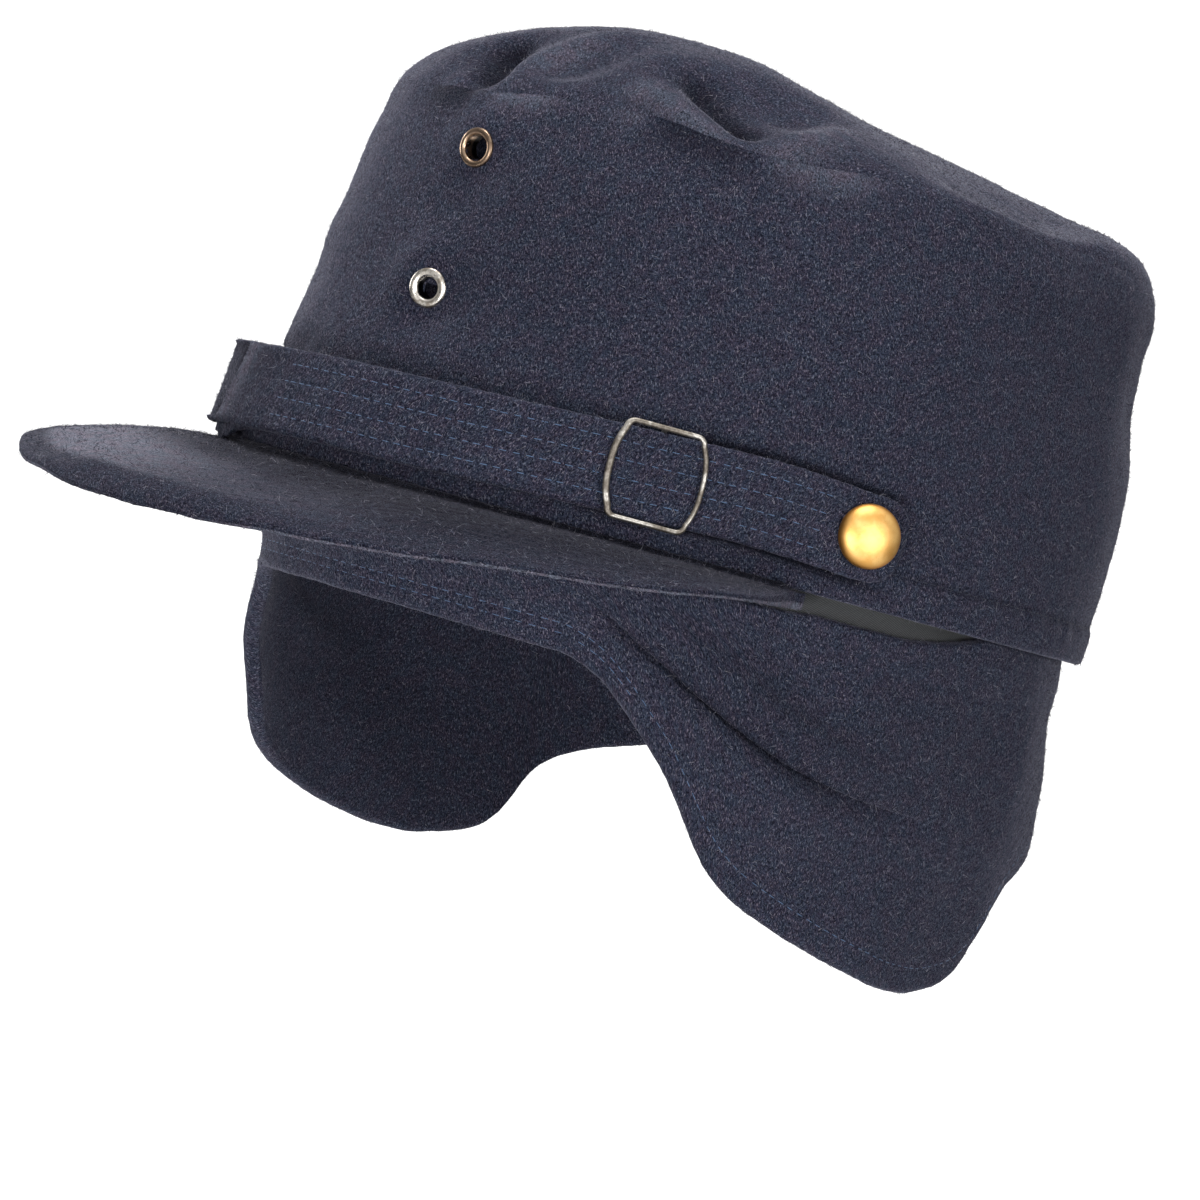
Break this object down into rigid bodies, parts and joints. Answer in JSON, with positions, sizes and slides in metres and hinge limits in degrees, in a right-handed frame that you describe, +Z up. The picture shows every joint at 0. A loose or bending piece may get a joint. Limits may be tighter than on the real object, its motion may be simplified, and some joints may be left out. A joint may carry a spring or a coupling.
{
  "type": "mountain cap",
  "caption": "Tall wool field cap with a soft domed top, cloth-covered peak, front strap with slide buckle and side buttons, air eyelets and a folded-down ear and neck curtain.",
  "frame": {"origin": "centre of the head opening, in the plane of the crown's lower hem, where the wearer's head fills the cap", "axes": "+Z up through the top of the crown, -Y to the front over the peak, +X to the wearer's left"},
  "size_m": [0.195, 0.2826, 0.1947],
  "materials": {
    "wool": "fulled navy and grey melange wool",
    "lining_twill": "grey cotton twill",
    "buckle_metal": "tarnished and worn",
    "button_gold": "satin gold",
    "eyelet_brass": "aged",
    "eyelet_nickel": "polished nickel plate"
  },
  "bodies": {
    "root": {"crown_side": "wool", "crown_top": "wool", "peak": "wool", "ear_flap_curtain": "wool", "lining_band": "lining_twill", "strap_outer": "wool", "strap_under": "wool", "slide_buckle": "buckle_metal", "button_left": "button_gold", "button_right": "button_gold", "eyelet_upper": "eyelet_brass", "eyelet_lower": "eyelet_nickel"}
  },
  "joints": []
}
